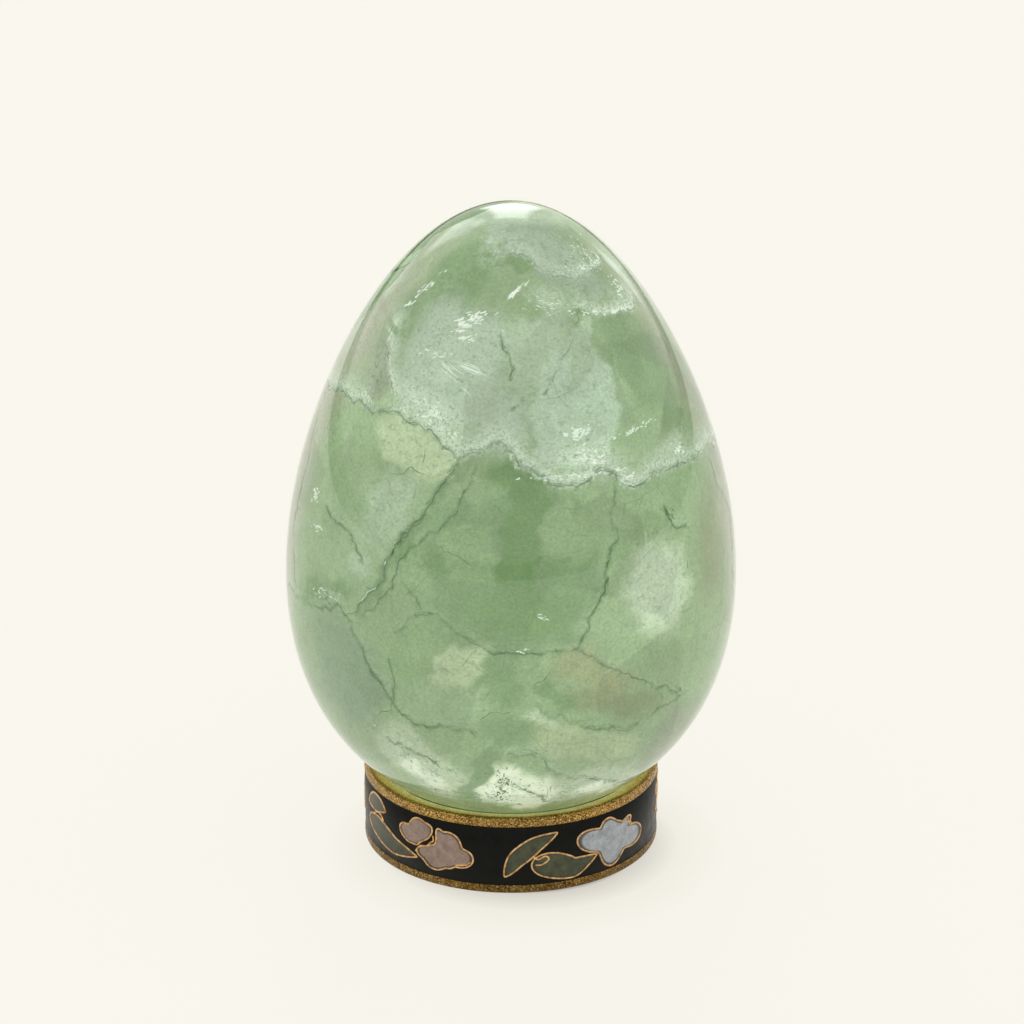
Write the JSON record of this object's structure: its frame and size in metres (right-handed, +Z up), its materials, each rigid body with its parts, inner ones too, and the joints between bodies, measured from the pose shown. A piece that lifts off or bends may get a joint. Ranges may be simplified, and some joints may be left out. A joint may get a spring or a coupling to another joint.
{
  "type": "fluorite egg with ring stand",
  "caption": "Polished translucent green fluorite egg standing blunt end down on a low gilt cloisonne ring.",
  "frame": {"origin": "centre of the ring's foot, on the surface that it stands on", "axes": "+Z up the egg's long axis, -Y towards the front, +X to the right seen from the front"},
  "size_m": [0.054, 0.054, 0.0797],
  "materials": {
    "fluorite": "polished, translucent",
    "gilt_metal": "worn gilt",
    "black_enamel": "glossy",
    "leaf_enamel": "glossy",
    "pink_enamel": "glossy",
    "blue_enamel": "glossy"
  },
  "bodies": {
    "root": {"bud_1_enamel": "pink_enamel", "bud_1_wire": "gilt_metal", "bud_3_enamel": "pink_enamel", "bud_3_wire": "gilt_metal", "bud_5_enamel": "pink_enamel", "bud_5_wire": "gilt_metal", "egg": "fluorite", "enamel_ground": "black_enamel", "flower_1_enamel": "pink_enamel", "flower_1_wire": "gilt_metal", "flower_2_enamel": "blue_enamel", "flower_2_wire": "gilt_metal", "flower_3_enamel": "pink_enamel", "flower_3_wire": "gilt_metal", "flower_4_enamel": "blue_enamel", "flower_4_wire": "gilt_metal", "flower_5_enamel": "pink_enamel", "flower_5_wire": "gilt_metal", "leaf_a_1_enamel": "leaf_enamel", "leaf_a_1_wire": "gilt_metal", "leaf_a_2_enamel": "leaf_enamel", "leaf_a_2_wire": "gilt_metal", "leaf_a_3_enamel": "leaf_enamel", "leaf_a_3_wire": "gilt_metal", "leaf_a_4_enamel": "leaf_enamel", "leaf_a_4_wire": "gilt_metal", "leaf_a_5_enamel": "leaf_enamel", "leaf_a_5_wire": "gilt_metal", "leaf_b_1_enamel": "leaf_enamel", "leaf_b_1_wire": "gilt_metal", "leaf_b_2_enamel": "leaf_enamel", "leaf_b_2_wire": "gilt_metal", "leaf_b_3_enamel": "leaf_enamel", "leaf_b_3_wire": "gilt_metal", "leaf_b_4_enamel": "leaf_enamel", "leaf_b_4_wire": "gilt_metal", "leaf_b_5_enamel": "leaf_enamel", "leaf_b_5_wire": "gilt_metal", "ring_body": "gilt_metal"}
  },
  "joints": []
}
